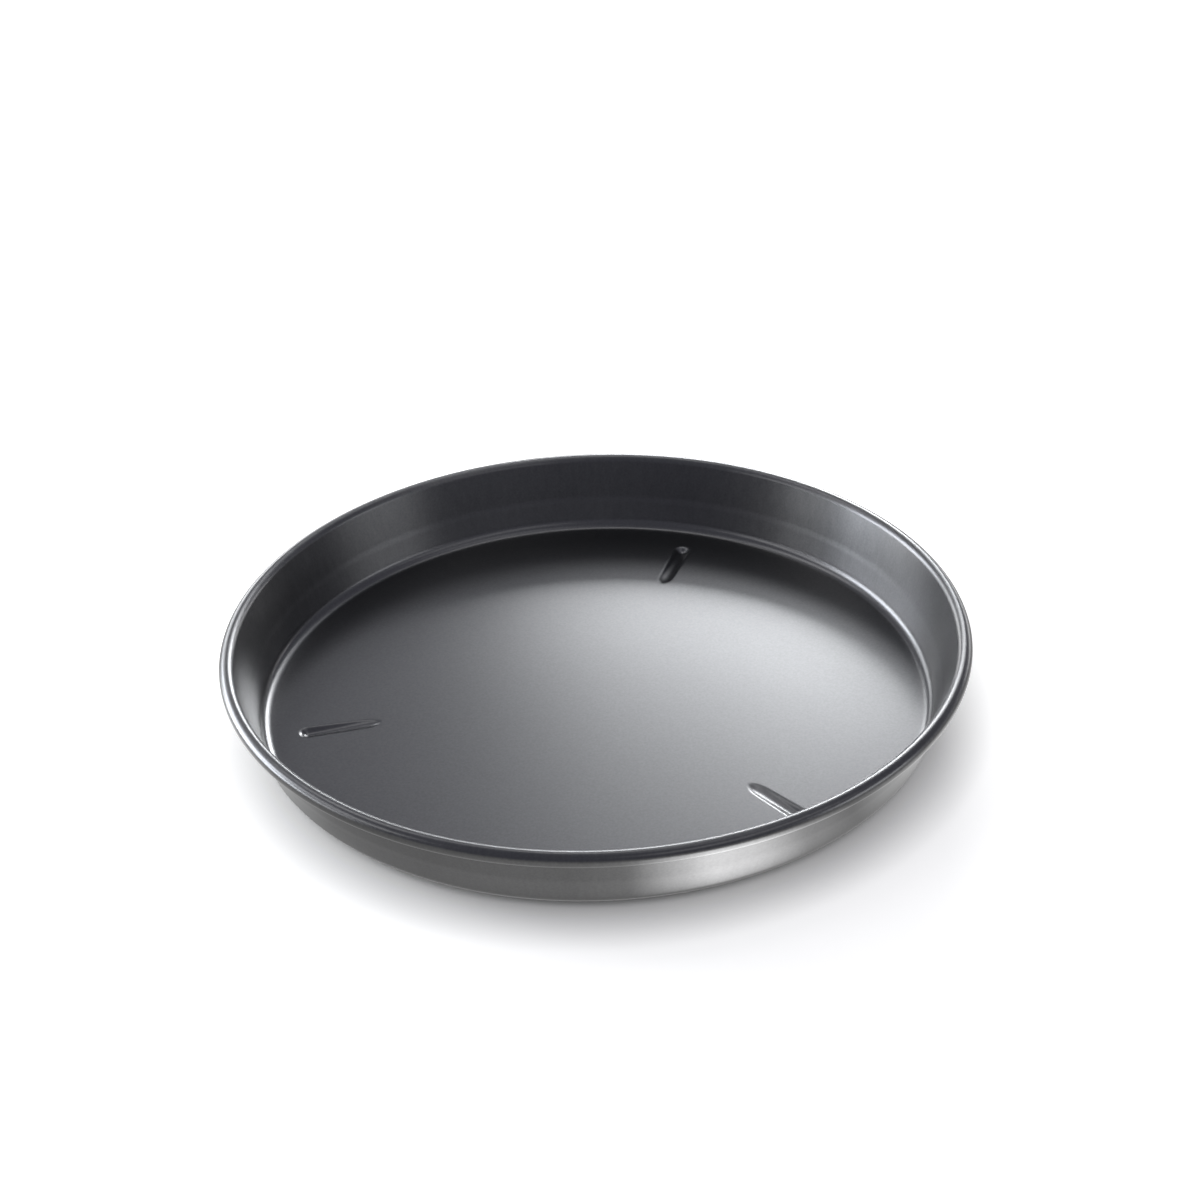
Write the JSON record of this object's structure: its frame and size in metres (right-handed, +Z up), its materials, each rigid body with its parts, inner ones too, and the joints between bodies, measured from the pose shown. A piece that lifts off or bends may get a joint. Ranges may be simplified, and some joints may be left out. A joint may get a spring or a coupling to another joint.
{
  "type": "deep dish pan",
  "caption": "Round deep dish baking pan with a leaning wall, a rolled rim over a stiffening wire, and long pressed lugs in its flat floor.",
  "frame": {"origin": "on the pan's axis, on the surface that the pan stands on, which the tips of its floor lugs touch", "axes": "+Z up along the pan's axis. One lug points 70 degrees from +X towards +Y, and the others follow at equal steps."},
  "size_m": [0.3708, 0.3708, 0.0419],
  "materials": {
    "anodised_aluminium": "satin, dark grey hard anodised",
    "steel_wire": "plain drawn wire"
  },
  "bodies": {
    "root": {"pan_body": "anodised_aluminium", "rim_wire": "steel_wire"}
  },
  "joints": []
}
